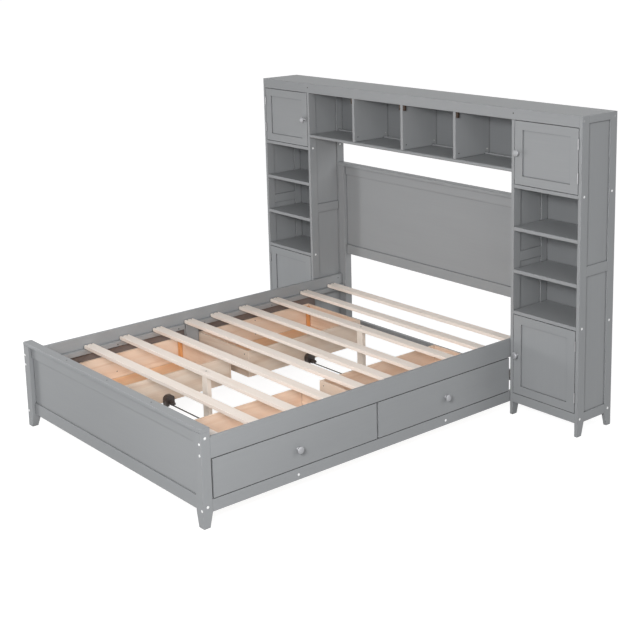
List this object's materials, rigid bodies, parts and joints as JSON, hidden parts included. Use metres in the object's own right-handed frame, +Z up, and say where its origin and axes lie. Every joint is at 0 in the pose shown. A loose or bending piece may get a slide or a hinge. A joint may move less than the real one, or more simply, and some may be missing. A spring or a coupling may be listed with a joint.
{
  "type": "bed",
  "caption": "Grey painted storage bed: slatted base, panelled footboard and headboard, drawers in the long sides, tall cabinets and a bridge of open cubbies at the head.",
  "frame": {"origin": "on the floor, in the middle of the bed's footprint", "axes": "+X across the bed, towards the right side seen from the foot; +Y from the footboard to the headboard; +Z up"},
  "size_m": [2.455, 2.1435, 1.576],
  "materials": {
    "grey_paint": "satin grey paint over solid wood and panel",
    "pine_slat": "bare planed pine",
    "pine_leg": "bare planed pine",
    "drawer_board": "bare planed softwood",
    "plywood": "thin plywood with an oiled look",
    "black_plastic": "moulded black",
    "dark_metal": "black coated strip",
    "bright_metal": "polished nickel",
    "hinge_metal": "satin nickel",
    "cap_plastic": "pale cap",
    "screw_metal": "dull zinc"
  },
  "bodies": {
    "frame": {"foot_posts": "grey_paint", "foot_cap": "grey_paint", "foot_rails": "grey_paint", "foot_panel": "grey_paint", "head_posts": "grey_paint", "head_cap": "grey_paint", "head_rails": "grey_paint", "head_panel": "grey_paint", "upper_side_rails": "grey_paint", "lower_side_rails": "grey_paint", "slat_ledgers": "grey_paint", "slats": "pine_slat", "centre_legs": "pine_leg", "drawer_tracks": "dark_metal", "cabinet_stiles": "grey_paint", "cabinet_side_rails": "grey_paint", "cabinet_side_panels": "grey_paint", "cabinet_shelves": "grey_paint", "cabinet_plinths": "grey_paint", "back_panels": "grey_paint", "top_board": "grey_paint", "apron": "grey_paint", "bridge_shelf": "grey_paint", "bridge_dividers": "grey_paint", "bridge_blocks": "grey_paint", "frame_hinges": "hinge_metal", "bolt_caps": "cap_plastic", "screws": "screw_metal"},
    "right_foot_drawer": {"drawer_rf_front": "grey_paint", "drawer_rf_box": "drawer_board", "drawer_rf_bottom": "plywood", "drawer_rf_guide": "black_plastic", "drawer_rf_knob": "bright_metal"},
    "right_head_drawer": {"drawer_rh_front": "grey_paint", "drawer_rh_box": "drawer_board", "drawer_rh_bottom": "plywood", "drawer_rh_guide": "black_plastic", "drawer_rh_knob": "bright_metal"},
    "left_foot_drawer": {"drawer_lf_front": "grey_paint", "drawer_lf_box": "drawer_board", "drawer_lf_bottom": "plywood", "drawer_lf_guide": "black_plastic", "drawer_lf_knob": "bright_metal"},
    "left_head_drawer": {"drawer_lh_front": "grey_paint", "drawer_lh_box": "drawer_board", "drawer_lh_bottom": "plywood", "drawer_lh_guide": "black_plastic", "drawer_lh_knob": "bright_metal"},
    "right_upper_door": {"door_ru_frame": "grey_paint", "door_ru_panel": "grey_paint", "door_ru_fittings": "bright_metal"},
    "right_lower_door": {"door_rl_frame": "grey_paint", "door_rl_panel": "grey_paint", "door_rl_fittings": "bright_metal"},
    "left_upper_door": {"door_lu_frame": "grey_paint", "door_lu_panel": "grey_paint", "door_lu_fittings": "bright_metal"},
    "left_lower_door": {"door_ll_frame": "grey_paint", "door_ll_panel": "grey_paint", "door_ll_fittings": "bright_metal"}
  },
  "joints": [
    {"name": "right_foot_drawer_slide", "type": "slide", "parent": "frame", "child": "right_foot_drawer", "axis": [1, 0, 0], "range_m": [0, 0.32]},
    {"name": "right_head_drawer_slide", "type": "slide", "parent": "frame", "child": "right_head_drawer", "axis": [1, 0, 0], "range_m": [0, 0.32]},
    {"name": "left_foot_drawer_slide", "type": "slide", "parent": "frame", "child": "left_foot_drawer", "axis": [-1, 0, 0], "range_m": [0, 0.32]},
    {"name": "left_head_drawer_slide", "type": "slide", "parent": "frame", "child": "left_head_drawer", "axis": [-1, 0, 0], "range_m": [0, 0.32]},
    {"name": "right_upper_door_hinge", "type": "hinge", "parent": "frame", "child": "right_upper_door", "pos_m": [1.2065, 0.8086, 1.3605], "axis": [0, 0, 1], "range_deg": [0, 110]},
    {"name": "right_lower_door_hinge", "type": "hinge", "parent": "frame", "child": "right_lower_door", "pos_m": [1.2065, 0.8086, 0.327], "axis": [0, 0, 1], "range_deg": [0, 110]},
    {"name": "left_upper_door_hinge", "type": "hinge", "parent": "frame", "child": "left_upper_door", "pos_m": [-1.2065, 0.8086, 1.3605], "axis": [0, 0, -1], "range_deg": [0, 110]},
    {"name": "left_lower_door_hinge", "type": "hinge", "parent": "frame", "child": "left_lower_door", "pos_m": [-1.2065, 0.8086, 0.327], "axis": [0, 0, -1], "range_deg": [0, 110]}
  ]
}
